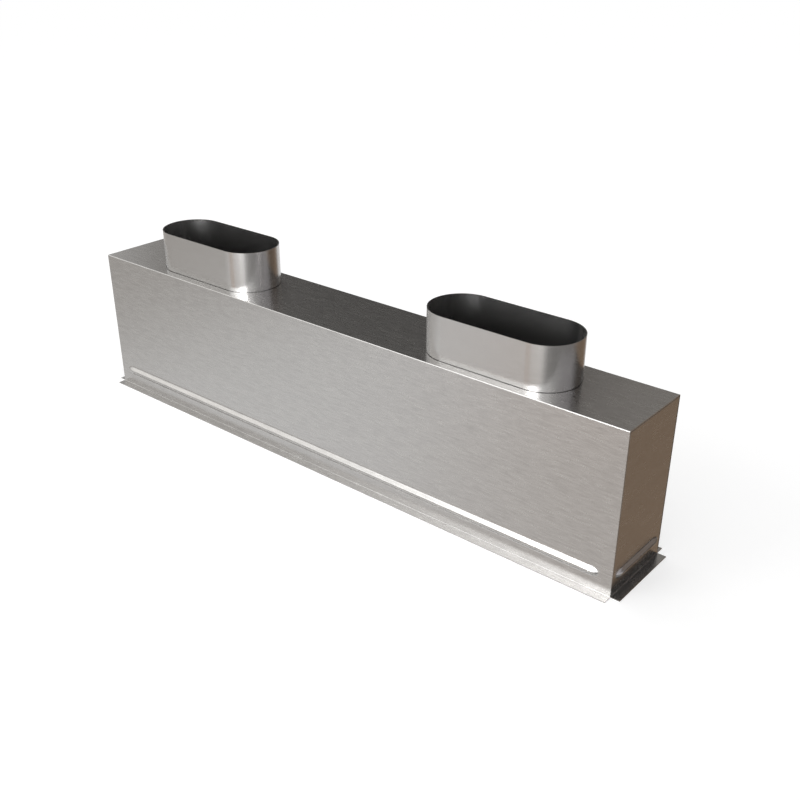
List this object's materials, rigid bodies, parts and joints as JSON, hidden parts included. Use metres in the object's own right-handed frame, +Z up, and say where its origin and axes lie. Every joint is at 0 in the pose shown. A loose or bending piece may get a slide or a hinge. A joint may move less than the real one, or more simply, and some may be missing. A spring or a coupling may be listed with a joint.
{
  "type": "insulated supply plenum",
  "caption": "Long, narrow steel air box, open below, with flat-oval duct collars on top, an outward bottom flange, pressed clip beads and a black duct liner inside.",
  "frame": {"origin": "on the floor, under the middle of the box: centre of the bounding box's underside, in the plane of the bottom flange", "axes": "+X runs along the box from its left to its right end as the picture shows it, +Y goes to the back wall, +Z is up, out of the collars"},
  "size_m": [1.232, 0.186, 0.362],
  "materials": {
    "wrapper_steel": "fine brushed sheet, grain along the box",
    "cap_steel": "fine brushed sheet",
    "collar_steel": "fine brushed sheet, bent round",
    "duct_liner": "matt black mat facing"
  },
  "bodies": {
    "root": {"wrapper": "wrapper_steel", "end_cap_left": "cap_steel", "end_cap_right": "cap_steel", "collar_left": "collar_steel", "collar_right": "collar_steel", "liner_top": "duct_liner", "liner_front": "duct_liner", "liner_back": "duct_liner", "liner_left": "duct_liner", "liner_right": "duct_liner"}
  },
  "joints": []
}
